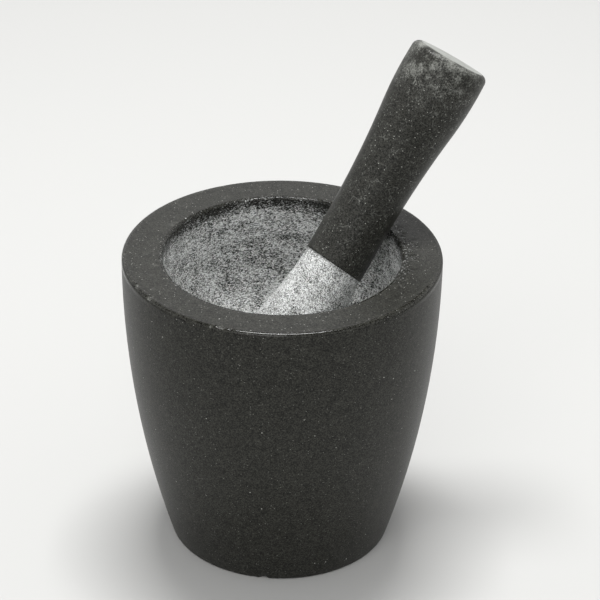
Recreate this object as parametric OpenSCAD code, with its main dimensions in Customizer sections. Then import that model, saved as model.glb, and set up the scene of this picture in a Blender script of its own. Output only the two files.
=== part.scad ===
// Granite mortar and pestle: two pieces of stone, each turned from one block.
// Millimetres, +Z up, origin at the centre of the face that the mortar stands on.
// The pestle lies in the bowl as it is kept, with its waist against the rim's inner edge.

/* [Mortar] */
// Diameter over the rim, where the mortar is widest
rim_diameter = 150; // [130:1:180]
// Height from the standing face to the flat of the rim
mortar_height = 148; // [120:1:180]
// Diameter of the foot, before its edge is eased
foot_diameter = 104.5; // [85:0.5:126]
// Width of the wall at the rim, from the outside to the bowl
rim_width = 19.3; // [16:0.1:24]
// Radius of the eased edge outside the rim
rim_outer_ease = 1.9; // [0.8:0.1:5]
// Radius of the eased edge between the rim and the bowl
rim_inner_ease = 1.6; // [0.8:0.1:5]
// Radius of the eased edge round the foot
foot_ease = 2; // [0.8:0.1:6]
// Depth of the upright wall between the rim and the round bottom of the bowl
bowl_wall_depth = 21; // [10:0.5:30]

/* [Pestle] */
// Length from the grinding end to the flat end of the handle
pestle_length = 179.4; // [150:0.1:215]
// Diameter of the swollen grip near the flat end
grip_diameter = 39.3; // [35:0.1:48]
// Distance from the flat end to where the grip is fullest
grip_setback = 11.9; // [6:0.1:15]
// Radius of the grip's barrel curve, along the handle
grip_curve = 180; // [120:1:240]
// Radius of the eased edge round the flat end
grip_ease = 3.4; // [1:0.1:5]
// Diameter of the waist, the thinnest place
waist_diameter = 30; // [24:0.1:33]
// Height of the top of the waist above the grinding end
waist_height = 89; // [80:0.5:100]
// Length of the straight part of the waist
waist_length = 16; // [6:0.5:22]
// Radius of the hollow curve between the waist and the head
flare_curve = 150; // [110:1:180]
// Angle between the head's side and the pestle's axis
head_angle = 11.5; // [9:0.1:13]
// Radius of the rounding between the head's side and its grinding face
head_rounding = 12; // [9:0.1:14]
// Radius of the domed grinding face
head_dome = 42; // [34:0.5:60]
// Height of the pecked head, from the grinding end up to the honed handle
pecked_height = 66.7; // [62:0.1:72]
// How far the pecking sinks the head below the honed handle
peck_depth = 0.4; // [0.2:0.1:0.8]

/* [Resting place] */
// Angle between the resting pestle and the vertical
lean = 34.5; // [30:0.5:38]
// Direction the pestle leans, turned from +X towards +Y
lean_direction = 31.5; // [0:0.5:359.5]
// Gap left where the pestle rests against the mortar
rest_gap = 0.35; // [0.2:0.05:0.6]

/* [Hidden] */
$fn = 180;

// Reach past an edge for the shapes that cut it
past = 1;
STONE = "#41413d";
STONE_WORN = "#4b4b48";

// The mortar's outline. Its side is one arc that stands upright at the rim and closes in to the foot.
rim_r = rim_diameter / 2;
foot_r = foot_diameter / 2;
side_sag = rim_r - foot_r;
side_r = (mortar_height ^ 2 + side_sag ^ 2) / (2 * side_sag);
side_x = rim_r - side_r;
rim_edge = [side_x + sqrt((side_r - rim_outer_ease) ^ 2 - rim_outer_ease ^ 2), mortar_height - rim_outer_ease];
foot_edge = [
    side_x + sqrt((side_r - foot_ease) ^ 2 - (mortar_height - foot_ease) ^ 2),
    foot_ease
];
side_top = mortar_height - rim_outer_ease * side_r / (side_r - rim_outer_ease);
side_bottom = mortar_height - (mortar_height - foot_ease) * side_r / (side_r - foot_ease);

// The bowl: an upright wall over a half sphere of the same radius.
bowl_r = rim_r - rim_width;
bowl_centre = [0, mortar_height - bowl_wall_depth];
inner_edge = [bowl_r + rim_inner_ease, mortar_height - rim_inner_ease];

// The pestle's outline, with Z measured along its axis from the grinding end.
// The grip's barrel curve runs into the hollow curve of the waist where the two circles touch.
grip_r = grip_diameter / 2;
waist_r = waist_diameter / 2;
grip_height = pestle_length - grip_setback;
swell = grip_r - waist_r;
waist_curve = ((grip_height - waist_height) ^ 2 + swell ^ 2) / (2 * swell) - grip_curve;
grip_centre = [grip_r - grip_curve, grip_height];
waist_centre = [waist_r + waist_curve, waist_height];
grip_bottom = grip_height - (grip_height - waist_height) * grip_curve / (grip_curve + waist_curve);
end_edge = [
    grip_centre.x + sqrt((grip_curve - grip_ease) ^ 2 - (grip_setback - grip_ease) ^ 2),
    pestle_length - grip_ease
];
grip_top = grip_height + (grip_setback - grip_ease) * grip_curve / (grip_curve - grip_ease);

// The handle's hollow curve opens below the waist and ends where the pecking starts.
flare_height = waist_height - waist_length;
honed_flare_centre = [waist_r + flare_curve, flare_height];

// The head carries the same curve on, peck_depth further in, to a straight cone rounded into the grinding face.
flare_centre = honed_flare_centre - [peck_depth, 0];
cone_top = flare_centre + flare_curve * [-cos(head_angle), -sin(head_angle)];

// Centre of the head's rounding: it touches the cone on one side and the dome below.
cone_out = [cos(head_angle), sin(head_angle)];
cone_down = [sin(head_angle), -cos(head_angle)];
dome_centre = [0, head_dome];
rounding_start = cone_top - head_rounding * cone_out;
to_dome = rounding_start - dome_centre;
along_cone = cone_down * to_dome;
cone_run = -along_cone + sqrt(along_cone ^ 2 - to_dome * to_dome + (head_dome - head_rounding) ^ 2);
head_edge = rounding_start + cone_run * cone_down;
cone_bottom = cone_top + cone_run * cone_down;
cone_start = cone_top - past * cone_down;
dome_out = (head_edge - dome_centre) / norm(head_edge - dome_centre);

// Where the pestle rests, worked out in the upright plane that it leans in.
// The rim's inner edge stays rest_gap off the hollow of the handle, and the head rest_gap off the bowl.
across = [cos(lean), -sin(lean)];
along = [sin(lean), cos(lean)];
function leaned(p) = p.x * across + p.y * along;
bowl_hold = bowl_centre - leaned(head_edge);
bowl_reach = bowl_r - head_rounding - rest_gap;
function rest_on(hollow_centre, hollow_r) =
    let (
        rim_hold = inner_edge - leaned(hollow_centre),
        rim_reach = hollow_r - rim_inner_ease - rest_gap,
        span = norm(rim_hold - bowl_hold),
        towards = (rim_hold - bowl_hold) / span,
        run = (bowl_reach ^ 2 - rim_reach ^ 2 + span ^ 2) / (2 * span),
        side_step = sqrt(bowl_reach ^ 2 - run ^ 2)
    )
    bowl_hold + run * towards + side_step * [-towards.y, towards.x];
waist_rest = rest_on(waist_centre, waist_curve);
flare_rest = rest_on(honed_flare_centre, flare_curve);
on_waist = (inner_edge - waist_rest) * along > flare_height;
tip = on_waist ? waist_rest : flare_rest;

// A band of the outline between two heights
module band(low, high, width) {
    translate([0, low])
        square([width, high - low]);
}

module round_at(centre, r) {
    translate(centre)
        circle(r);
}

module mortar_side() {
    intersection() {
        band(side_bottom, side_top, rim_r + past);
        round_at([side_x, mortar_height], side_r);
    }
}

module mortar_block() {
    mortar_side();
    band(side_top - past, mortar_height, rim_edge.x);
    band(0, side_bottom + past, foot_edge.x);
    round_at(rim_edge, rim_outer_ease);
    round_at(foot_edge, foot_ease);
}

module bowl_space() {
    round_at(bowl_centre, bowl_r);
    band(bowl_centre.y, mortar_height + past, bowl_r);
    difference() {
        band(inner_edge.y, mortar_height + past, inner_edge.x);
        round_at(inner_edge, rim_inner_ease);
    }
}

module mortar() {
    color(STONE)
        rotate_extrude()
            intersection() {
                band(0, mortar_height, rim_r);
                difference() {
                    mortar_block();
                    bowl_space();
                }
            }
}

// Each straight or swelling stretch runs a little way into the hollow one beside it
module handle_outline() {
    band(grip_top - past, pestle_length, end_edge.x);
    round_at(end_edge, grip_ease);
    intersection() {
        band(grip_bottom - past, grip_top, grip_r + past);
        round_at(grip_centre, grip_curve);
    }
    difference() {
        band(waist_height, grip_bottom, grip_r);
        round_at(waist_centre, waist_curve);
    }
    band(flare_height - past, waist_height + past, waist_r);
    difference() {
        band(pecked_height, flare_height, grip_r);
        round_at(honed_flare_centre, flare_curve);
    }
}

module head_outline() {
    difference() {
        band(cone_top.y, pecked_height + past, cone_top.x);
        round_at(flare_centre, flare_curve);
    }
    polygon([[0, cone_start.y], [0, head_edge.y], head_edge, cone_bottom, cone_start]);
    round_at(head_edge, head_rounding);
    intersection() {
        round_at(dome_centre, head_dome);
        polygon([dome_centre, [0, -past], dome_centre + 2 * head_dome * dome_out]);
    }
}

module pestle() {
    color(STONE_WORN)
        rotate([0, 0, lean_direction])
            translate([tip.x, 0, tip.y])
                rotate([0, lean, 0])
                    rotate_extrude()
                        intersection() {
                            band(0, pestle_length, 2 * grip_r);
                            union() {
                                handle_outline();
                                head_outline();
                            }
                        }
}

mortar();
pestle();
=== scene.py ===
import math
from functools import partial

import bpy
import numpy as np
from bpy.props import FloatProperty, IntProperty, PointerProperty, StringProperty
from mathutils import Matrix, Vector, noise


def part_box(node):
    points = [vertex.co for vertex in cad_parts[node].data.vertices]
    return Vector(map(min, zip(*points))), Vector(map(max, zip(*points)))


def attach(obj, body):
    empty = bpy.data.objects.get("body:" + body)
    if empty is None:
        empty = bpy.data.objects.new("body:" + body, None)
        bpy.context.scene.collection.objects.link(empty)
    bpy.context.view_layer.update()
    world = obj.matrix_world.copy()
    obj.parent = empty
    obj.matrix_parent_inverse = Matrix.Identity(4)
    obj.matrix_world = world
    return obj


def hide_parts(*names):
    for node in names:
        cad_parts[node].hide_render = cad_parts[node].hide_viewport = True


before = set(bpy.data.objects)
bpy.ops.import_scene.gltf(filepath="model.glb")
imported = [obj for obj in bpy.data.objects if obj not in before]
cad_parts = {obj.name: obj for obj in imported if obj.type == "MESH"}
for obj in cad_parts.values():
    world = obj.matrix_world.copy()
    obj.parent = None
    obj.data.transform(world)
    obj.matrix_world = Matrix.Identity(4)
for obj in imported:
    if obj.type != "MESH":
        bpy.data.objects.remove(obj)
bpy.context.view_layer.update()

bl_info = {
    "name": "Granite Mortar and Pestle",
    "version": (1, 0, 0),
    "blender": (4, 5, 0),
    "location": "View3D > Sidebar > Mortar",
    "description": "Makes a honed granite mortar with a pecked bowl, and its pestle, on a pale studio floor",
    "category": "Add Mesh",
}

MM = 0.001
MORTAR_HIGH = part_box("mortar")[1]
PESTLE_LOW, PESTLE_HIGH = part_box("pestle")


# Settings -----------------------------------------------------------------------------------

def length(name, description, default):
    """A length in metres that a user can change."""
    return FloatProperty(
        name=name, description=description, default=default, min=0.0, unit="LENGTH", precision=5
    )


def angle(name, description, degrees):
    """An angle that a user can change, stored in radians."""
    return FloatProperty(
        name=name, description=description, default=math.radians(degrees), subtype="ANGLE"
    )


def share(name, description, default):
    """A number from 0 to 1 that a user can change."""
    return FloatProperty(name=name, description=description, default=default, min=0.0, max=1.0)


def power(name, description, default):
    """A light's power in watts."""
    return FloatProperty(name=name, description=description, default=default, unit="POWER")


def colour(name, description, hex_value):
    """An sRGB colour written as a hex value."""
    return StringProperty(name=name, description=description, default=hex_value)


class MortarSizes(bpy.types.PropertyGroup):
    """Sizes of the mortar, which stands on the frame's origin"""

    rim_radius: length("Rim radius", "Radius over the rim", MORTAR_HIGH.x)
    height: length("Height", "Height of the rim above the floor", MORTAR_HIGH.z)
    foot_radius: length("Foot radius", "Radius of the foot before its edge is eased", 52.25 * MM)
    rim_width: length("Rim width", "Width of the wall at the rim", 19.3 * MM)
    outer_ease: length("Outer ease", "Radius of the eased edge outside the rim", 1.9 * MM)
    inner_ease: length("Inner ease", "Radius of the eased edge between the rim and the bowl", 1.6 * MM)
    foot_ease: length("Foot ease", "Radius of the eased edge round the foot", 2.0 * MM)
    wall_depth: length("Wall depth", "Depth of the bowl's upright wall", 21.0 * MM)
    honed_depth: length("Honed depth", "How far down the bowl's wall the honing reaches", 4.0 * MM)
    nick_turn: angle("Nick turn", "Where around the mortar the eased edges are nicked most", 218.0)
    knock_turn: angle("Knock turn", "From the pestle's direction to the middle of the bruised edge", 22.0)
    pit_depth: length("Pit depth", "Depth of the pits that the point leaves in the bowl", 0.6 * MM)
    pit_size: length("Pit size", "Distance between neighbouring pits in the bowl", 2.3 * MM)


class PestleSizes(bpy.types.PropertyGroup):
    """Sizes of the pestle, measured along its axis from the grinding end"""

    total: length("Length", "Length from the grinding end to the flat end", 179.4 * MM)
    grip_radius: length("Grip radius", "Radius of the swollen grip", 19.65 * MM)
    grip_setback: length("Grip setback", "Distance from the flat end to the fullest place", 11.9 * MM)
    grip_curve: length("Grip curve", "Radius of the grip's barrel curve", 180.0 * MM)
    grip_ease: length("Grip ease", "Radius of the eased edge round the flat end", 3.4 * MM)
    waist_radius: length("Waist radius", "Radius at the waist, the thinnest place", 15.0 * MM)
    waist_height: length("Waist height", "Height of the top of the waist", 89.0 * MM)
    waist_length: length("Waist length", "Length of the straight part of the waist", 16.0 * MM)
    flare_curve: length("Flare curve", "Radius of the hollow curve above the head", 150.0 * MM)
    head_angle: angle("Head angle", "Angle between the head's side and the axis", 11.5)
    head_rounding: length("Head rounding", "Radius between the side and the grinding face", 12.0 * MM)
    head_dome: length("Head dome", "Radius of the domed grinding face", 42.0 * MM)
    pecked_height: length("Pecked height", "Height of the line where the honing ends", 66.7 * MM)
    peck_depth: length("Peck depth", "How far the pecking sinks the head", 0.4 * MM)
    lean: angle("Lean", "Angle between the resting pestle and the vertical", 34.5)
    direction: angle("Direction", "Direction the pestle leans, from +X towards +Y", 31.5)
    line_tilt: length("Line tilt", "How far the honed line rises and falls around the pestle", 2.4 * MM)
    line_lift: length("Line lift", "How far the honed line's middle lies above the pecked height", 0.6 * MM)
    # The scuffs gather on this side, the one towards the softbox, so the grip is painted paler there and
    # darker on the far side: real scuffs shared out as painted light and shade
    scuff_lit_side_turn: angle("Scuff turn", "Where around the grip the stone is scuffed most", 190.0)
    line_turn: angle("Line turn", "Where around the pestle the honed line is highest", 195.0)


class StoneLooks(bpy.types.PropertyGroup):
    """Colours and finish of black granite, honed and pecked"""

    dark: colour("Dark mineral", "Dark grains of the honed stone", "#080805")
    grain: colour("Grey mineral", "Greyer grains of the honed stone", "#3b3b36")
    fleck: colour("White fleck", "Feldspar crystals that catch the light", "#c4c5bf")
    # Besides bruises, this colour paints the pestle's flat end pale as a painted highlight
    scuff: colour("Scuff", "Pale marks where the honing is bruised", "#7e7f7a")
    pecked_dark: colour("Pecked dark", "Floors of the pits", "#30312e")
    pecked_mid: colour("Pecked grey", "Crushed stone between the pits", "#b6b8b5")
    pecked_light: colour("Pecked light", "Powdered crystals on the high places", "#fcfdfc")
    honed_roughness: share("Honed roughness", "Roughness of the honed stone", 0.4)
    polished_roughness: share("Polished roughness", "Roughness where hands have polished it", 0.1)
    pecked_roughness: share("Pecked roughness", "Roughness of the pecked stone", 0.9)

    # Granite's own is about 1.54. The honed wall stays darker at its edges than that gives.
    ior: FloatProperty(name="IOR", description="Index of refraction of the stone", default=1.3)


class StageSettings(bpy.types.PropertyGroup):
    """Floor, light and camera"""

    distance: length("Camera distance", "From the camera to the middle of the rim", 1.5)
    elevation: angle("Camera elevation", "Height of the camera above the rim", 28.98)
    tilt: angle("Camera tilt", "How far the camera looks down", 29.8)
    pan: angle("Camera pan", "How far the camera turns to the right", 0.372)
    roll: angle("Camera roll", "How far the camera leans", 0.733)
    lens: FloatProperty(name="Lens", description="Focal length", default=192.9, unit="CAMERA")
    floor_radius: length("Floor radius", "Radius of the floor", 8.0)
    floor: colour("Floor", "Colour of the floor", "#bebebc")
    horizon: colour("Horizon", "Colour of the surroundings where they meet the floor", "#8a8a89")
    sides: colour("Sides", "Colour of the surroundings above the horizon", "#f2f2f2")
    zenith: colour("Zenith", "Colour of the surroundings overhead", "#6a6a6c")
    surround: FloatProperty(name="Surround", description="Strength of the surroundings", default=1.48)
    top_power: power("Top power", "Power of the strip light overhead", 25)
    key_power: power("Key power", "Power of the softbox in front", 8.5)
    seed: IntProperty(name="Seed", description="Shifts every pattern in the stone", default=3)


# Points and meshes --------------------------------------------------------------------------

# A ring's sides are halved in number while each is shorter than this share of a cell, down to about
# as many as this
SHORTEST_SIDE = 0.6
FEWEST_SIDES = 15


def arc(centre, radius, start, end, step):
    """Points along a circle's arc between two angles, about one step apart."""
    count = max(2, math.ceil(abs(end - start) * radius / step))
    turns = np.linspace(start, end, count + 1)
    return np.column_stack([centre[0] + radius * np.cos(turns), centre[1] + radius * np.sin(turns)])


def line(start, end, step):
    """Points along a straight line, about one step apart."""
    count = max(1, math.ceil(math.dist(start, end) / step))
    along = np.linspace(0, 1, count + 1)[:, None]
    return np.array(start) * (1 - along) + np.array(end) * along


def heading(centre, point):
    """The angle of a point as seen from a centre."""
    return math.atan2(point[1] - centre[1], point[0] - centre[0])


def joined(stretches):
    """One outline from stretches that each start where the last one ends, and the row where each starts."""
    points, starts, count = [], {}, 0
    for name, stretch in stretches.items():
        fresh = stretch if count == 0 else stretch[1:]
        starts[name] = max(0, count - 1)
        points.append(fresh)
        count += len(fresh)
    return np.vstack(points), starts


def outline_normals(outline):
    """Unit normals to the right of the outline's direction, which is outside a counter-clockwise one."""
    along = np.gradient(outline, axis=0)
    normals = np.column_stack([along[:, 1], -along[:, 0]])
    return normals / np.linalg.norm(normals, axis=1)[:, None]


def around(angles, out, up):
    """Points or directions turned round Z, from how far out and how far up each is at its angle."""
    return np.column_stack([out * np.cos(angles), out * np.sin(angles), up])


def smooth_step(low, high, value):
    """0 at low and before it, 1 at high and past it, and a smooth rise between."""
    rise = np.clip((value - low) / (high - low), 0.0, 1.0)
    return rise * rise * (3 - 2 * rise)


def ring_sides(radius, cell, most):
    """Number of sides of a ring: halved from the most until a side is about as long as the cell."""
    sides = most
    while sides > FEWEST_SIDES and 2 * math.pi * radius / sides < cell * SHORTEST_SIDE:
        sides //= 2
    return sides


def bridge(faces, first, second, n_first, n_second):
    """Faces between two rings, where one has as many corners as the other or twice as many."""
    fewest = min(n_first, n_second)
    for i in range(fewest):
        j = (i + 1) % fewest
        if n_first == n_second:
            faces.append((first + i, first + j, second + j, second + i))
        elif n_first == 2 * n_second:
            a, b, c = first + 2 * i, first + 2 * i + 1, first + (2 * i + 2) % n_first
            faces.append((a, b, second + i))
            faces.append((b, second + j, second + i))
            faces.append((b, c, second + j))
        elif n_second == 2 * n_first:
            a, b, c = second + 2 * i, second + 2 * i + 1, second + (2 * i + 2) % n_second
            faces.append((first + i, b, a))
            faces.append((first + i, first + j, b))
            faces.append((first + j, c, b))


def turned(sides):
    """Outline row and angle of each point, and the faces, of a closed shape turned round Z.

    It has one ring for each number of sides, and the first and the last are single points on Z."""
    starts, rows, angles = [], [], []
    total = 0
    for k, count in enumerate(sides):
        starts.append(total)
        rows.append(np.full(count, k))
        angles.append(2 * math.pi * np.arange(count) / count)
        total += count
    faces = []
    for k in range(1, len(sides) - 2):
        bridge(faces, starts[k], starts[k + 1], sides[k], sides[k + 1])
    for i in range(sides[1]):
        faces.append((starts[0], starts[1] + (i + 1) % sides[1], starts[1] + i))
    for i in range(sides[-2]):
        faces.append((starts[-1], starts[-2] + i, starts[-2] + (i + 1) % sides[-2]))
    return np.concatenate(rows), np.concatenate(angles), faces


def make_object(name, points, faces, attributes, material):
    """A smooth mesh object with one number per point for each attribute."""
    mesh = bpy.data.meshes.new(name)
    mesh.from_pydata([tuple(p) for p in points], [], faces)
    for title, values in attributes.items():
        mesh.attributes.new(title, "FLOAT", "POINT").data.foreach_set("value", values.astype(np.float32))
    mesh.polygons.foreach_set("use_smooth", [True] * len(mesh.polygons))
    mesh.materials.append(material)
    mesh.validate()
    mesh.update()
    made = bpy.data.objects.new(name, mesh)
    bpy.context.scene.collection.objects.link(made)
    return made


# Patterns in the shape ----------------------------------------------------------------------

# How far one step of the seed moves each kind of noise
WANDER_STEP = (3.7, 1.3, 5.1)
PITS_STEP = (2.9, 4.3, 1.7)

# Where in the noise each pattern that wanders is read, so that no two are alike
SPLINTER_PLACE = 2.0
BRUISE_PLACE = 3.0
SCUFF_PLACE = 4.0
HEAD_SPLINTER_PLACE = 5.0
RIM_FLECKS_PLACE = 6.0
GRIT_PLACE = 7.0
NICK_PLACE = 9.0

# How far a pit reaches from its middle, as a share of the spacing, and how deep the faintest one is
PIT_REACH = 0.75
FAINTEST_PIT = 0.45
# Spreads the pits' middles through the noise that draws how deep each one is
PIT_DRAW = 7.3


def wander(points, size, seed, place=0.0):
    """Smooth noise from -1 to 1 at each point, with features of about the given size."""
    x, y, z = WANDER_STEP
    offset = Vector((seed * x + place, seed * y - place, seed * z))
    return np.array([noise.noise(Vector(p) / size + offset) for p in points])


def pits(points, spacing, seed):
    """How deep each point lies in a field of round pits, from 0 between them to 1 at their middles."""
    offset = Vector([seed * step for step in PITS_STEP])
    depths = np.empty(len(points))
    for i, point in enumerate(points):
        distances, centres = noise.voronoi(Vector(point) / spacing + offset)
        strength = FAINTEST_PIT + (1 - FAINTEST_PIT) * abs(noise.cell(centres[0] * PIT_DRAW))
        depths[i] = strength * max(0.0, 1 - (distances[0] / PIT_REACH) ** 2)
    return depths


def broken(points, spacing, splinter, pitted, seed, place):
    """How deep the stone is broken, from 0 to 1: a share of it round pits, and the rest splinters."""
    splinters = 0.5 + 0.5 * wander(points, splinter, seed, place)
    return pitted * pits(points, spacing, seed) + (1 - pitted) * splinters


# Materials ----------------------------------------------------------------------------------

# Metres that one step of the seed moves the stone's grain
GRAIN_STEP = (0.131, 0.217, 0.071)

# Sizes in the honed face: mineral grains and crystals, the clouds they gather in, and grit in a bruise
GRAIN = 0.6 * MM
CRYSTAL = 0.45 * MM
CLOUD = 5 * MM
GRIT = 1.0 * MM

# Feldspar flecks, a few large and many small: how far apart, and the radius of the largest
LARGE_FLECKS = (5.0 * MM, 0.36 * MM)
SMALL_FLECKS = (1.4 * MM, 0.26 * MM)

# Scratches: how far apart, and half the width of one in the honed and in the pecked stone
SCRATCH_SPACING = 5 * MM
HONED_SCRATCH = 0.17 * MM
PECKED_SCRATCH = 0.3 * MM

# Crushed stone: its lighter and darker patches, and one crystal as a share of the powder's grain
PATCH = 7 * MM
CRUSHED_CRYSTAL = 0.55

# Depth of the relief that the point leaves, and the share of it that honing leaves
RELIEF = 1.0 * MM
HONED_RELIEF = 0.03

# A Mix node's sockets for colours, which share their names with its other sockets
FACTOR, UNDER, OVER, MIXED = 0, 6, 7, 2

# Setting of a Map Range that eases in and out
SMOOTH = {"interpolation_type": "SMOOTHSTEP"}


def linear(hex_value):
    """Linear RGBA of an sRGB hex colour."""
    channels = [int(hex_value[i : i + 2], 16) / 255 for i in (1, 3, 5)]
    return tuple(c / 12.92 if c <= 0.04045 else ((c + 0.055) / 1.055) ** 2.4 for c in channels) + (1.0,)


def add(tree, kind, sockets=(), output=0, **settings):
    """Adds a shader node, sets its settings, sets or links its sockets, and gives one of its outputs.

    The sockets are a dictionary, or a row of values in the order that they have on the node."""
    made = tree.nodes.new("ShaderNode" + kind)
    for name, value in settings.items():
        setattr(made, name, value)
    for socket, value in sockets.items() if isinstance(sockets, dict) else enumerate(sockets):
        if isinstance(value, bpy.types.NodeSocket):
            tree.links.new(value, made.inputs[socket])
        else:
            made.inputs[socket].default_value = value
    return made.outputs[output] if made.outputs else None


def set_stops(ramp, stops):
    """Gives a colour ramp its stops, each a position and a hex colour."""
    while len(ramp.elements) < len(stops):
        ramp.elements.new(0.5)
    for element, (position, shade) in zip(ramp.elements, stops):
        element.position = position
        element.color = linear(shade)


def new_material(name):
    """An empty node material, and what adds a node to it."""
    made = bpy.data.materials.new(name)
    made.use_nodes = True
    made.node_tree.nodes.clear()
    return made, partial(add, made.node_tree)


def together(node, *parts):
    """The sum of values that each have a weight."""
    total = 0.0
    for value, weight in parts:
        weighted = node("Math", (value, weight), operation="MULTIPLY")
        total = node("Math", (total, weighted), operation="ADD")
    return total


def crystals(node, place, size):
    """A random value for each crystal of about a size."""
    cells = node("TexVoronoi", {"Vector": place, "Scale": 1 / size}, output="Color", feature="F1")
    return node("SeparateColor", {"Color": cells})


def flecks(node, place, spacing, radius, rarest):
    """Specks of at most a radius, one to a cell, most of them faint."""
    cells = node("TexVoronoi", {"Vector": place, "Scale": 1 / spacing}, output="Distance", feature="F1")
    near = node("MapRange", (cells, radius / spacing, 0.4 * radius / spacing, 0.0, 1.0), **SMOOTH)
    bright = node("MapRange", (crystals(node, place, spacing), rarest, 1.0, 0.0, 1.0), **SMOOTH)
    return node("Math", (near, bright), operation="MULTIPLY")


def scratches(node, place, width):
    """Short thin lines, in a few places only."""
    cells = node(
        "TexVoronoi",
        {"Vector": place, "Scale": 1 / SCRATCH_SPACING},
        output="Distance",
        feature="DISTANCE_TO_EDGE",
    )
    near = node("MapRange", (cells, width / SCRATCH_SPACING, 0.0, 0.0, 1.0), **SMOOTH)
    clouds = {"Vector": place, "Scale": 1 / (0.8 * SCRATCH_SPACING), "Detail": 2.0, "Roughness": 0.5}
    kept = node("MapRange", (node("TexNoise", clouds), 0.56, 0.62, 0.0, 1.0), **SMOOTH)
    return node("Math", (near, kept), operation="MULTIPLY")


def spread(node, mark, pattern, weight, low, high):
    """Fills in half-marked places grain by grain, and leaves unmarked ones clean."""
    mixed = together(node, (mark, 1.0), (pattern, weight))
    filled = node("MapRange", (mixed, low, high, 0.0, 1.0), **SMOOTH)
    allowed = node("MapRange", (mark, 0.0, 0.15, 0.0, 1.0), **SMOOTH)
    return node("Math", (filled, allowed), operation="MULTIPLY")


def honed_face(node, place, fine, looks):
    """Colour of the honed stone with its flecks and marks, and how bruised it is."""
    # The scuffs attribute carries real scuffs, and from 1.2 to 2 the flat end's painted highlight
    scuffs_and_end_highlight = node("Attribute", output="Fac", attribute_name="scuffs_and_end_highlight")

    # Mineral grains of about half a millimetre, gathered in clouds of about 5 mm
    clouds = node("TexNoise", {"Vector": place, "Scale": 1 / CLOUD, "Detail": 3.0, "Roughness": 0.6})
    grain = together(node, (fine, 0.55), (clouds, 0.15), (crystals(node, place, CRYSTAL), 0.3))
    honed = node("ValToRGB", {"Fac": grain})
    set_stops(honed.node.color_ramp, ((0.38, looks.dark), (0.70, looks.grain)))

    # Feldspar flecks: a few bright ones up to 0.7 mm across, and many small ones, brightest in scuffed stone
    shown = node("MapRange", (scuffs_and_end_highlight, 0.0, 0.2, 0.4, 1.0), **SMOOTH)
    small = node("Math", (flecks(node, place, *SMALL_FLECKS, 0.3), shown), operation="MULTIPLY")
    bright = node("Math", (flecks(node, place, *LARGE_FLECKS, 0.4), small), operation="MAXIMUM")

    # Bruises where the honing is knocked: pale dust broken up by the grain, and thin scratches. On the flat
    # end the bruise covers it all, as part of its painted highlight
    grit = node("TexNoise", {"Vector": place, "Scale": 1 / GRIT, "Detail": 5.0, "Roughness": 0.85})
    bruises_and_end_highlight = spread(node, scuffs_and_end_highlight, grit, weight=2.4, low=1.5, high=2.2)
    scored = node("MapRange", (scuffs_and_end_highlight, 0.05, 0.4, 0.0, 0.75), **SMOOTH)
    scored = node("Math", (scratches(node, place, HONED_SCRATCH), scored), operation="MULTIPLY")
    marks_and_end_highlight = node("Math", (bruises_and_end_highlight, scored), operation="MAXIMUM")

    # The flat end is painted paler all over, a painted highlight for the bright reflection of its face, and
    # there the attribute goes on to 2
    end_highlight = node("MapRange", (together(node, (grit, 0.5), (clouds, 0.5)), 0.38, 0.62, 0.1, 0.45), **SMOOTH)
    flat_end = node("MapRange", (scuffs_and_end_highlight, 1.2, 2.0, 0.0, 1.0), **SMOOTH)
    end_highlight = node("Math", (flat_end, end_highlight), operation="MULTIPLY")

    for cover, shade in ((bright, looks.fleck), (marks_and_end_highlight, looks.scuff), (end_highlight, looks.pecked_mid)):
        layers = {FACTOR: cover, UNDER: honed, OVER: linear(shade)}
        honed = node("Mix", layers, output=MIXED, data_type="RGBA")
    return honed, bruises_and_end_highlight


def pecked_face(node, place, crushed, pecked, looks):
    """Colour of the pecked stone: powder on the high places, dark floors of pits and a few cracks."""
    patches = node("TexNoise", {"Vector": place, "Scale": 1 / PATCH, "Detail": 3.0, "Roughness": 0.7})
    speckle = together(node, (crushed, 0.72), (patches, 0.28), (pecked, 0.21), (-0.21, 1.0))
    rough = node("ValToRGB", {"Fac": speckle})
    stops = ((0.41, looks.pecked_dark), (0.49, looks.pecked_mid), (0.57, looks.pecked_light))
    set_stops(rough.node.color_ramp, stops)
    cracks = node("Math", (scratches(node, place, PECKED_SCRATCH), 0.6), operation="MULTIPLY")
    layers = {FACTOR: cracks, UNDER: rough, OVER: linear(looks.pecked_dark)}
    return node("Mix", layers, output=MIXED, data_type="RGBA")


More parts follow.
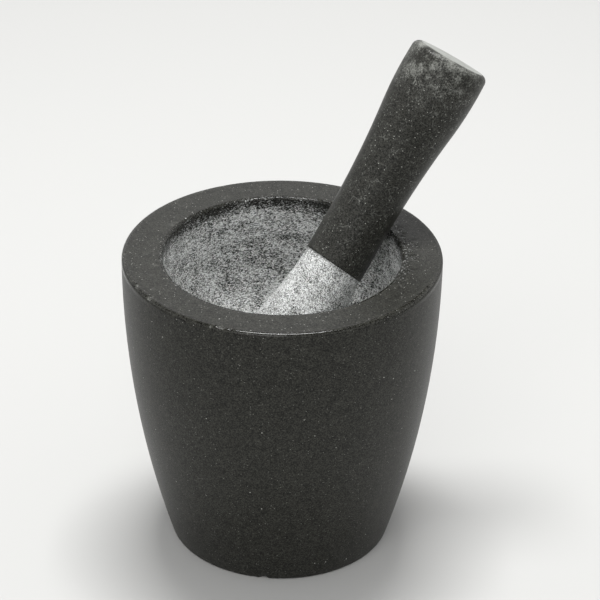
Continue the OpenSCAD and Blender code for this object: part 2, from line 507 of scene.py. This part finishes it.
# Black granite, a fine-grained gabbro of the trade, sawn and honed with fine grit on the outside. Honing
# leaves a dark satin face with a soft sheen, greyer grains about half a millimetre across and a few pale
# feldspar flecks. The bowl and the head are pecked with a point: crushed crystals scatter the light, so they
# are pale, matt and speckled. The powder's grain is drawn coarser than it really is, so that it shows. One
# material holds both finishes, and the "pecked" number on the mesh says which is where.
def granite(name, looks, seed, powder, flattened):
    made, node = new_material(name)
    stone = node("TexCoord", output="Object")
    place = node("Mapping", {"Vector": stone, "Location": [seed * step for step in GRAIN_STEP]})

    # Strokes of the point run round the stone, so what they leave is flattened along its height
    stroked = node("Mapping", {"Vector": place, "Scale": (1.0, 1.0, flattened)})

    fine = node("TexNoise", {"Vector": place, "Scale": 1 / GRAIN, "Detail": 2.0, "Roughness": 0.85})
    splinters = node("TexNoise", {"Vector": stroked, "Scale": 1 / powder, "Detail": 4.0, "Roughness": 0.9})
    crushed = together(
        node, (splinters, 0.75), (crystals(node, stroked, CRUSHED_CRYSTAL * powder), 0.25)
    )
    pecked = node("Attribute", output="Fac", attribute_name="pecked")
    polished = node("Attribute", output="Fac", attribute_name="polished")
    honed, bruises_and_end_highlight = honed_face(node, place, fine, looks)
    rough = pecked_face(node, place, crushed, pecked, looks)

    # Where honing and pecking meet, single crystals of each stand in the other
    ragged = spread(node, pecked, crushed, weight=3.0, low=1.85, high=2.2)

    # The honed stone's sheen changes a little from grain to grain, and bruised stone is nearly matt
    sheen = node(
        "MapRange", (polished, 0.0, 1.0, looks.honed_roughness, looks.polished_roughness), **SMOOTH
    )
    sheen = together(node, (sheen, 1.0), (fine, 0.4), (-0.2, 1.0))
    matt = node("Math", (bruises_and_end_highlight, 0.6), operation="MULTIPLY")
    matt = node("Math", (ragged, matt), operation="MAXIMUM")
    roughness = node("MapRange", {"Value": matt, "To Min": sheen, "To Max": looks.pecked_roughness})

    # Honing leaves a relief of hundredths of a millimetre, the point one of tenths
    worked = node("MapRange", (ragged, 0.0, 1.0, HONED_RELIEF, 1.0), **SMOOTH)
    relief = node("Math", (crushed, worked), operation="MULTIPLY")
    surface = {
        "Base Color": node(
            "Mix", {FACTOR: ragged, UNDER: honed, OVER: rough}, output=MIXED, data_type="RGBA"
        ),
        "Roughness": roughness,
        "IOR": looks.ior,
        "Normal": node("Bump", {"Height": relief, "Distance": RELIEF, "Strength": 1.0}),
    }
    node("OutputMaterial", {"Surface": node("BsdfPrincipled", surface)})
    return made


# Painted board, rolled with matt pale grey: an even face with no gloss, which takes a soft shadow
def painted_board(name, hex_value):
    made, node = new_material(name)
    board = node("BsdfPrincipled", {"Base Color": linear(hex_value), "Roughness": 0.8})
    node("OutputMaterial", {"Surface": board})
    return made


# Mortar -------------------------------------------------------------------------------------

# How far apart the mesh's points are, least where the stone is pecked or an edge is eased
BASE_STEP = 6 * MM
SIDE_STEP = 2 * MM
TOP_STEP = 0.8 * MM
BOWL_STEP = 0.72 * MM
FOOT_STEP = 0.4 * MM
EASE_STEP = 0.3 * MM
MORTAR_SIDES = 480
BOWL_CELL = 0.73 * MM

# The honing's lower edge in the bowl rises and falls. The first pits lie above it, and below it there are
# pits all over.
HONED_WAVE = 2.0 * MM
HONED_WAVE_SIZE = 22 * MM
FIRST_PITS_ABOVE = 8 * MM
ALL_PITS_BELOW = 7 * MM

# What the point leaves in the bowl: splinters of a size, and the share of the depth that pits have
BOWL_SPLINTER = 1.6 * MM
BOWL_PITTED = 0.65

# Faint rings that a tool left in the bowl, which come and go over stretches of its depth
RING_DEPTH = 0.09 * MM
RING_SPACING = 2.4 * MM
RINGS_COME = (6 * MM, 9 * MM)
RINGS_GO = (17 * MM, 13 * MM)

# Nicks in the eased edges. The cosine of the angle from the worst place says how many there are.
NICK_DEPTH = 0.3 * MM
NICK_SIZE = 3.2 * MM
FEWEST_NICKS = 0.15
WORST_STRETCH = (0.6, 0.95)
NICKED_NOISE = (0.30, 0.60)

# One chip in the foot: where it is, how deep, and how far from its middle it starts and is deepest
CHIP_TURN = math.radians(262)
CHIP_HEIGHT = 0.6 * MM
CHIP_DEPTH = 0.9 * MM
CHIP_REACH = (2.6 * MM, 0.6 * MM)

# The bruised inner edge: how far from the knock it starts and is worst, its width, and how ragged that is
BRUISE_REACH = (46 * MM, 22 * MM)
BRUISE_WIDTH = 10 * MM
BRUISE_RAGGED = 6 * MM
BRUISE_RAGGED_SIZE = 7 * MM
WORST_BRUISE = 0.3

# The bruise's grit, how deep it goes, and how pecked the stone looks there
BRUISE_DEPTH = 0.35 * MM
BRUISE_GRIT = 1.8 * MM
GRIT_NOISE = (0.0, 0.5)
BRUISE_PECKED = 0.33

# Pale flecks and marks added to the rim's top, how much they change and over what distance, and dust in a
# nick
RIM_FLECKS = 0.14
RIM_FLECKS_CHANGE = 0.1
RIM_FLECKS_SIZE = 9 * MM
NICK_DUST = 0.5

# Grain of the powder in the bowl, and how flat the strokes lie
BOWL_POWDER_GRAIN = 1.15 * MM
BOWL_FLATTENED = 1.7


def mortar_outline(sizes):
    """The mortar's outline in radius and height, and the row where each stretch starts."""
    rim, height = sizes.rim_radius, sizes.height
    sag = rim - sizes.foot_radius
    side = (height**2 + sag**2) / (2 * sag)
    side_centre = (rim - side, height)
    outer = (
        side_centre[0] + math.sqrt((side - sizes.outer_ease) ** 2 - sizes.outer_ease**2),
        height - sizes.outer_ease,
    )
    foot = (
        side_centre[0] + math.sqrt((side - sizes.foot_ease) ** 2 - (height - sizes.foot_ease) ** 2),
        sizes.foot_ease,
    )
    bowl = rim - sizes.rim_width
    inner = (bowl + sizes.inner_ease, height - sizes.inner_ease)
    bowl_centre = (0.0, height - sizes.wall_depth)
    foot_turn = heading(side_centre, foot)
    outer_turn = heading(side_centre, outer)
    stretches = {
        "base": line((0.0, 0.0), (foot[0], 0.0), BASE_STEP),
        "foot": arc(foot, sizes.foot_ease, -math.pi / 2, foot_turn, FOOT_STEP),
        "side": arc(side_centre, side, foot_turn, outer_turn, SIDE_STEP),
        "outer": arc(outer, sizes.outer_ease, outer_turn, math.pi / 2, EASE_STEP),
        "top": line((outer[0], height), (inner[0], height), TOP_STEP),
        "inner": arc(inner, sizes.inner_ease, math.pi / 2, math.pi, EASE_STEP),
        "wall": line((bowl, inner[1]), (bowl, bowl_centre[1]), BOWL_STEP),
        "bottom": arc(bowl_centre, bowl, 0.0, -math.pi / 2, BOWL_STEP),
    }
    return joined(stretches)


def mortar_rings(outline, starts):
    """Number of sides of each ring of the mortar, with fewer on the plain base and side."""
    sides = []
    for k, (radius, _height) in enumerate(outline):
        plain = k < starts["foot"] or starts["side"] <= k < starts["outer"]
        if k in (0, len(outline) - 1):
            sides.append(1)
        elif plain:
            sides.append(ring_sides(radius, SIDE_STEP, MORTAR_SIDES // 2))
        else:
            sides.append(ring_sides(radius, BOWL_CELL, MORTAR_SIDES))
    return sides


def bowl_pecking(points, depth, sizes, seed):
    """How thickly the bowl is pecked: sparsely at first, and from higher up in some places than in others."""
    edge = sizes.honed_depth + HONED_WAVE * wander(points, HONED_WAVE_SIZE, seed)
    return smooth_step(edge - FIRST_PITS_ABOVE, edge + ALL_PITS_BELOW, depth)


def bowl_hollows(points, pecked, sizes, seed):
    """How deep the point has gone into the bowl."""
    hollows = np.zeros(len(points))
    met = np.flatnonzero(pecked > 0)
    depths = broken(points[met], sizes.pit_size, BOWL_SPLINTER, BOWL_PITTED, seed, SPLINTER_PLACE)
    hollows[met] = pecked[met] * sizes.pit_depth * depths
    return hollows


def tool_rings(depth):
    """How deep the rings are that the tool left below the rim."""
    shown = smooth_step(*RINGS_COME, depth) * smooth_step(*RINGS_GO, depth)
    return RING_DEPTH * shown * (1 + np.sin(depth * 2 * math.pi / RING_SPACING))


def edge_nicks(points, angles, worst_turn, seed):
    """How nicked an edge is at each point, from 0 to 1."""
    many = smooth_step(*WORST_STRETCH, np.cos(angles - worst_turn))
    nicked = smooth_step(*NICKED_NOISE, wander(points, NICK_SIZE, seed, NICK_PLACE))
    return (FEWEST_NICKS + (1 - FEWEST_NICKS) * many) * nicked


def foot_chip(points, foot_radius):
    """How deep the chip in the foot is at each point."""
    middle = [foot_radius * math.cos(CHIP_TURN), foot_radius * math.sin(CHIP_TURN), CHIP_HEIGHT]
    return CHIP_DEPTH * smooth_step(*CHIP_REACH, np.linalg.norm(points - np.array(middle), axis=1))


def knocked_edge(points, past_edge, knock, seed):
    """How near each point is to where the pestle knocks the rim, and how bruised the rim is there."""
    near = smooth_step(*BRUISE_REACH, np.hypot(points[:, 0] - knock[0], points[:, 1] - knock[1]))
    width = BRUISE_WIDTH + BRUISE_RAGGED * wander(points, BRUISE_RAGGED_SIZE, seed, BRUISE_PLACE)
    return near, near * smooth_step(width, WORST_BRUISE * width, past_edge)


class MORTAR_OT_mortar(bpy.types.Operator):
    """Make the mortar: honed outside, pecked in the bowl"""

    bl_idname = "mortar.mortar"
    bl_label = "Mortar"
    bl_options = {"REGISTER", "UNDO"}

    def execute(self, context):
        scene = context.scene
        sizes, seed = scene.mortar_sizes, scene.mortar_stage.seed
        outline, starts = mortar_outline(sizes)
        rows, angles, faces = turned(mortar_rings(outline, starts))
        radii, heights = outline[rows].T
        points = around(angles, radii, heights)
        outwards = around(angles, *outline_normals(outline)[rows].T)
        depth = sizes.height - heights

        in_bowl = rows >= starts["inner"]
        on_rim = (rows >= starts["outer"]) & (rows <= starts["wall"])
        outer_edge = (rows > starts["outer"]) & (rows <= starts["top"])
        rim_edges = on_rim & ((rows <= starts["top"]) | in_bowl)
        foot_edge = (rows >= starts["foot"]) & (rows <= starts["side"])

        # The pestle knocks the rim's inner edge to one side of where it rests
        bowl_radius = sizes.rim_radius - sizes.rim_width
        knock_turn = scene.pestle_sizes.direction - sizes.knock_turn
        knock = bowl_radius * np.array([math.cos(knock_turn), math.sin(knock_turn)])
        near, bruise = knocked_edge(points, radii - bowl_radius, knock, seed)
        bruise = np.where(on_rim, bruise, 0.0)
        grit = smooth_step(*GRIT_NOISE, wander(points, BRUISE_GRIT, seed, GRIT_PLACE))

        pecked = np.where(in_bowl, bowl_pecking(points, depth, sizes, seed), 0.0)
        nicks = edge_nicks(points, angles, sizes.nick_turn, seed)
        carved = bowl_hollows(points, pecked, sizes, seed)
        carved += np.where(in_bowl, tool_rings(depth), 0.0)
        carved += np.where(rim_edges | foot_edge, NICK_DEPTH * nicks, 0.0)
        carved += foot_chip(points, sizes.foot_radius)
        carved += BRUISE_DEPTH * bruise * grit

        # More pale flecks and marks in the rim's top than in the wall
        rim_flecks = RIM_FLECKS + RIM_FLECKS_CHANGE * wander(points, RIM_FLECKS_SIZE, seed, RIM_FLECKS_PLACE)
        rim_flecks = np.where(on_rim & ~in_bowl, rim_flecks, 0.0)
        finish = {
            "pecked": np.maximum(pecked, BRUISE_PECKED * bruise),
            "scuffs_and_end_highlight": np.where(outer_edge, NICK_DUST * nicks, rim_flecks),
            "polished": np.where(rim_edges, (1 - nicks) * (1 - near), 0.0),
        }
        stone = granite(
            "honed_and_pecked_granite", scene.stone_looks, seed, BOWL_POWDER_GRAIN, BOWL_FLATTENED
        )
        made = make_object("mortar_stone", points - carved[:, None] * outwards, faces, finish, stone)
        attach(made, "mortar")
        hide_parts("mortar")
        return {"FINISHED"}


# Pestle -------------------------------------------------------------------------------------

# How far apart the mesh's points are
PESTLE_STEP = 0.72 * MM
END_STEP = 0.4 * MM
PESTLE_SIDES = 192

# How far from the honed line the handle and the head give way to it, and where they give way fully
LINE_REACH = (30 * MM, 4 * MM)

# The head is more powdered than the bowl, so its pecked attribute goes above 1
HEAD_POWDER = 1.03

# What the point leaves on the head
HEAD_PIT_DEPTH = 0.28 * MM
HEAD_PIT_SIZE = 1.7 * MM
HEAD_SPLINTER = 1.3 * MM
HEAD_PITTED = 0.6
HEAD_POWDER_GRAIN = 0.65 * MM
HEAD_FLATTENED = 1.0

# Scuffs: how far from the flat end they start and are worst, and how much of them the far side has. Real
# knocks scuff the grip's end; keeping the scuffs off the far side paints it darker as painted shade
SCUFFS_START = 32 * MM
SCUFFS_WORST = 4 * MM
SHADED_SIDE_SCUFFS = 0.2

# Scuffs come in large and small patches, each with a size and a weight
LARGE_PATCHES = (8 * MM, 0.6)
SMALL_PATCHES = (3.5 * MM, 0.7)

# How scuffed the handle is: all over, at the end of the grip, and in the patches of each
HANDLE_SCUFFS = 0.24
GRIP_SCUFFS = 0.32
GRIP_PATCHES = 0.42
HANDLE_PATCHES = 0.12

# The flat end is painted pale all over as a painted highlight, which the attribute shows by going on to 2
FLAT_END_PAINTED_HIGHLIGHT = 2.0


def pestle_head(sizes, flare_height, line_turn):
    """The head's outline, from the grinding end up to the honed line."""
    curve, slope = sizes.flare_curve, sizes.head_angle
    flare_centre = (sizes.waist_radius + curve - sizes.peck_depth, flare_height)
    cone_out = np.array([math.cos(slope), math.sin(slope)])
    cone_down = np.array([math.sin(slope), -math.cos(slope)])
    cone_top = np.array(flare_centre) - curve * cone_out
    dome_centre = np.array([0.0, sizes.head_dome])

    # The rounding's centre moves down along the cone until the rounding touches the dome
    start = cone_top - sizes.head_rounding * cone_out
    reach = start - dome_centre
    along = float(cone_down @ reach)
    run = -along + math.sqrt(
        along**2 - float(reach @ reach) + (sizes.head_dome - sizes.head_rounding) ** 2
    )
    edge = start + run * cone_down
    dome_turn = heading(dome_centre, edge)
    stretches = {
        "dome": arc(dome_centre, sizes.head_dome, -math.pi / 2, dome_turn, PESTLE_STEP),
        "rounding": arc(edge, sizes.head_rounding, dome_turn, slope, PESTLE_STEP),
        "cone": line(cone_top + run * cone_down, cone_top, PESTLE_STEP),
        "flare": arc(flare_centre, curve, math.pi + slope, line_turn, PESTLE_STEP),
    }
    return joined(stretches)[0]


def pestle_handle(sizes, flare_height, line_turn):
    """The handle's outline, from the honed line up to the flat end, and the row where each stretch starts."""
    total, ease, barrel = sizes.total, sizes.grip_ease, sizes.grip_curve
    grip_height = total - sizes.grip_setback
    swell = sizes.grip_radius - sizes.waist_radius
    hollow = ((grip_height - sizes.waist_height) ** 2 + swell**2) / (2 * swell) - barrel
    grip_centre = (sizes.grip_radius - barrel, grip_height)
    waist_centre = (sizes.waist_radius + hollow, sizes.waist_height)
    flare_centre = (sizes.waist_radius + sizes.flare_curve, flare_height)
    end = (
        grip_centre[0] + math.sqrt((barrel - ease) ** 2 - (sizes.grip_setback - ease) ** 2),
        total - ease,
    )
    meeting = heading(grip_centre, waist_centre)
    end_turn = heading(grip_centre, end)
    waist = (sizes.waist_radius, flare_height), (sizes.waist_radius, sizes.waist_height)
    stretches = {
        "flare": arc(flare_centre, sizes.flare_curve, line_turn, math.pi, PESTLE_STEP),
        "waist": line(*waist, PESTLE_STEP),
        "hollow": arc(waist_centre, hollow, math.pi, math.pi + meeting, PESTLE_STEP),
        "barrel": arc(grip_centre, barrel, meeting, end_turn, PESTLE_STEP),
        "ease": arc(end, ease, end_turn, math.pi / 2, END_STEP),
        "end": line((end[0], total), (0.0, total), PESTLE_STEP),
    }
    return joined(stretches)


def pestle_outline(sizes):
    """The pestle's outline in radius and height, and the rows where the handle and the flat end start."""
    flare_height = sizes.waist_height - sizes.waist_length
    line_turn = math.pi + math.asin((flare_height - sizes.pecked_height) / sizes.flare_curve)
    head = pestle_head(sizes, flare_height, line_turn)
    handle, starts = pestle_handle(sizes, flare_height, line_turn)
    return np.vstack([head, handle]), len(head), len(head) + starts["end"]


def handle_scuffs(points, angles, along, sizes, seed):
    """How scuffed the handle is: a little all over, and more in patches at the end of the grip, most on the
    side towards the softbox as painted light.
    """
    # Painted light and shade: the side towards the softbox gets most of the grip's scuffs, the far side few
    facing = 0.5 + 0.5 * np.cos(angles - sizes.scuff_lit_side_turn)
    lit_side_share = SHADED_SIDE_SCUFFS + (1 - SHADED_SIDE_SCUFFS) * facing
    grip_end = lit_side_share * smooth_step(sizes.total - SCUFFS_START, sizes.total - SCUFFS_WORST, along)
    large, large_weight = LARGE_PATCHES
    small, small_weight = SMALL_PATCHES
    patches = large_weight * wander(points, large, seed)
    patches += small_weight * wander(points, small, seed, SCUFF_PLACE)
    return HANDLE_SCUFFS + grip_end * (GRIP_SCUFFS + GRIP_PATCHES * patches) + HANDLE_PATCHES * patches


class MORTAR_OT_pestle(bpy.types.Operator):
    """Make the pestle: honed handle, pecked head, leaning in the bowl"""

    bl_idname = "mortar.pestle"
    bl_label = "Pestle"
    bl_options = {"REGISTER", "UNDO"}

    def execute(self, context):
        scene = context.scene
        sizes, seed = scene.pestle_sizes, scene.mortar_stage.seed
        outline, first_honed, first_flat = pestle_outline(sizes)
        rings = [ring_sides(radius, PESTLE_STEP, PESTLE_SIDES) for radius in outline[1:-1, 0]]
        rows, angles, faces = turned([1, *rings, 1])
        radii, along = outline[rows].T
        outwards = around(angles, *outline_normals(outline)[rows].T)

        # Leaned over, the pestle fills the box that the frame gives it
        lean = Matrix.Rotation(sizes.direction, 3, "Z") @ Matrix.Rotation(sizes.lean, 3, "Y")
        lean = np.array(lean)
        leaned = around(angles, radii, along) @ lean.T
        middle = (np.array(PESTLE_LOW) + np.array(PESTLE_HIGH)) / 2
        shift = middle - (leaned.min(0) + leaned.max(0)) / 2

        # The honed line is not square to the axis: it rises and falls around the pestle
        near_line = smooth_step(*LINE_REACH, np.abs(along - sizes.pecked_height))
        rise = sizes.line_lift + sizes.line_tilt * np.cos(angles - sizes.line_turn)
        along = along + near_line * rise
        points = around(angles, radii, along)

        on_head = rows < first_honed
        on_end = rows >= first_flat
        carved = np.zeros(len(points))
        carved[on_head] = HEAD_PIT_DEPTH * broken(
            points[on_head], HEAD_PIT_SIZE, HEAD_SPLINTER, HEAD_PITTED, seed, HEAD_SPLINTER_PLACE
        )
        points -= carved[:, None] * outwards

        scuffs = np.where(on_head, 0.0, handle_scuffs(points, angles, along, sizes, seed))
        # The flat end's value paints its highlight into the stone's colour
        finish = {
            "pecked": np.where(on_head, HEAD_POWDER, 0.0),
            "scuffs_and_end_highlight": np.where(on_end, FLAT_END_PAINTED_HIGHLIGHT, scuffs),
            "polished": np.where(on_end, 1.0, 0.0),
        }
        stone = granite(
            "honed_and_pecked_granite_pestle",
            scene.stone_looks,
            seed + 1,
            HEAD_POWDER_GRAIN,
            HEAD_FLATTENED,
        )
        made = make_object("pestle_stone", points @ lean.T + shift, faces, finish, stone)
        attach(made, "pestle")
        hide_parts("pestle")
        return {"FINISHED"}


# Stage --------------------------------------------------------------------------------------

# Sizes of the lights in metres, and their places from the middle of the rim
STRIP_SIZE = (0.6, 0.33)
STRIP_PLACE = Vector((0.0, 0.25, 1.4))
SOFTBOX_SIZE = (1.0, 0.8)
SOFTBOX_PLACE = Vector((-0.35, -1.3, 1.4))

# Heights in the surroundings, from level to straight up, where the sides begin and end and the zenith begins
SIDES_FROM = 0.3
SIDES_TO = 0.42
ZENITH_FROM = 0.85

FLOOR_CORNERS = 128
NEAR_CLIP = 0.05


def add_light(name, size, power, place, target):
    """A rectangular area light that faces a point."""
    data = bpy.data.lights.new(name, "AREA")
    data.shape = "RECTANGLE"
    data.size, data.size_y = size
    data.energy = power
    made = bpy.data.objects.new(name, data)
    made.location = place
    made.rotation_euler = (Vector(target) - Vector(place)).to_track_quat("-Z", "Y").to_euler()
    bpy.context.scene.collection.objects.link(made)


def studio_surroundings(stage):
    """Soft light from all round: grey at the horizon, pale above it and darker overhead."""
    world = bpy.data.worlds.new("studio")
    world.use_nodes = True
    world.node_tree.nodes.clear()
    node = partial(add, world.node_tree)
    way = node("TexCoord", output="Generated")
    height = node("SeparateXYZ", {"Vector": way}, output="Z")
    shade = node("ValToRGB", {"Fac": height})
    stops = (
        (0.0, stage.horizon), (SIDES_FROM, stage.sides), (SIDES_TO, stage.sides), (ZENITH_FROM, stage.zenith)
    )
    set_stops(shade.node.color_ramp, stops)
    glow = node("Background", {"Color": shade, "Strength": stage.surround})
    node("OutputWorld", {"Surface": glow})
    return world


def studio_camera(stage, target):
    """A camera that looks down at the rim."""
    made = bpy.data.objects.new("camera", bpy.data.cameras.new("camera"))
    made.data.lens = stage.lens
    made.data.clip_start = NEAR_CLIP
    back = Vector((0.0, -math.cos(stage.elevation), math.sin(stage.elevation)))
    place = Matrix.Translation(target + stage.distance * back)
    look = (
        Matrix.Rotation(-stage.pan, 4, "Z")
        @ Matrix.Rotation(math.pi / 2 - stage.tilt, 4, "X")
        @ Matrix.Rotation(stage.roll, 4, "Z")
    )
    made.matrix_world = place @ look
    bpy.context.scene.collection.objects.link(made)
    return made


class MORTAR_OT_stage(bpy.types.Operator):
    """Make the floor, the light and the camera"""

    bl_idname = "mortar.stage"
    bl_label = "Stage"
    bl_options = {"REGISTER", "UNDO"}

    def execute(self, context):
        scene, stage = context.scene, context.scene.mortar_stage
        rim_middle = Vector((0.0, 0.0, MORTAR_HIGH.z))

        bpy.ops.mesh.primitive_circle_add(
            vertices=FLOOR_CORNERS, radius=stage.floor_radius, fill_type="NGON"
        )
        floor = context.object
        floor.name = "floor"
        floor.data.materials.append(painted_board("painted_board", stage.floor))

        scene.world = studio_surroundings(stage)
        add_light("strip", STRIP_SIZE, stage.top_power, rim_middle + STRIP_PLACE, rim_middle)
        add_light("softbox", SOFTBOX_SIZE, stage.key_power, rim_middle + SOFTBOX_PLACE, rim_middle)
        scene.camera = studio_camera(stage, rim_middle)
        scene.view_settings.view_transform = "Standard"
        return {"FINISHED"}


# Panel and registration ---------------------------------------------------------------------

class MORTAR_PT_panel(bpy.types.Panel):
    """Lists the pieces and their sizes"""

    bl_idname = "MORTAR_PT_panel"
    bl_label = "Mortar and Pestle"
    bl_space_type = "VIEW_3D"
    bl_region_type = "UI"
    bl_category = "Mortar"

    def list_settings(self, box, group):
        """Lists a group's settings in a box."""
        for name in group.bl_rna.properties.keys():
            if name not in ("rna_type", "name"):
                box.prop(group, name)

    def draw(self, context):
        scene = context.scene
        for operator, group in (
            (MORTAR_OT_stage, scene.mortar_stage),
            (MORTAR_OT_mortar, scene.mortar_sizes),
            (MORTAR_OT_pestle, scene.pestle_sizes),
        ):
            box = self.layout.box()
            box.operator(operator.bl_idname)
            self.list_settings(box, group)
        box = self.layout.box()
        box.label(text="Stone")
        self.list_settings(box, scene.stone_looks)


CLASSES = (
    MortarSizes,
    PestleSizes,
    StoneLooks,
    StageSettings,
    MORTAR_OT_stage,
    MORTAR_OT_mortar,
    MORTAR_OT_pestle,
    MORTAR_PT_panel,
)


def register():
    for cls in CLASSES:
        bpy.utils.register_class(cls)
    bpy.types.Scene.mortar_sizes = PointerProperty(type=MortarSizes)
    bpy.types.Scene.pestle_sizes = PointerProperty(type=PestleSizes)
    bpy.types.Scene.stone_looks = PointerProperty(type=StoneLooks)
    bpy.types.Scene.mortar_stage = PointerProperty(type=StageSettings)


def unregister():
    del bpy.types.Scene.mortar_stage
    del bpy.types.Scene.stone_looks
    del bpy.types.Scene.pestle_sizes
    del bpy.types.Scene.mortar_sizes
    for cls in reversed(CLASSES):
        bpy.utils.unregister_class(cls)


def main():
    register()
    bpy.ops.mortar.stage()
    bpy.ops.mortar.mortar()
    bpy.ops.mortar.pestle()


if __name__ == "__main__":
    main()
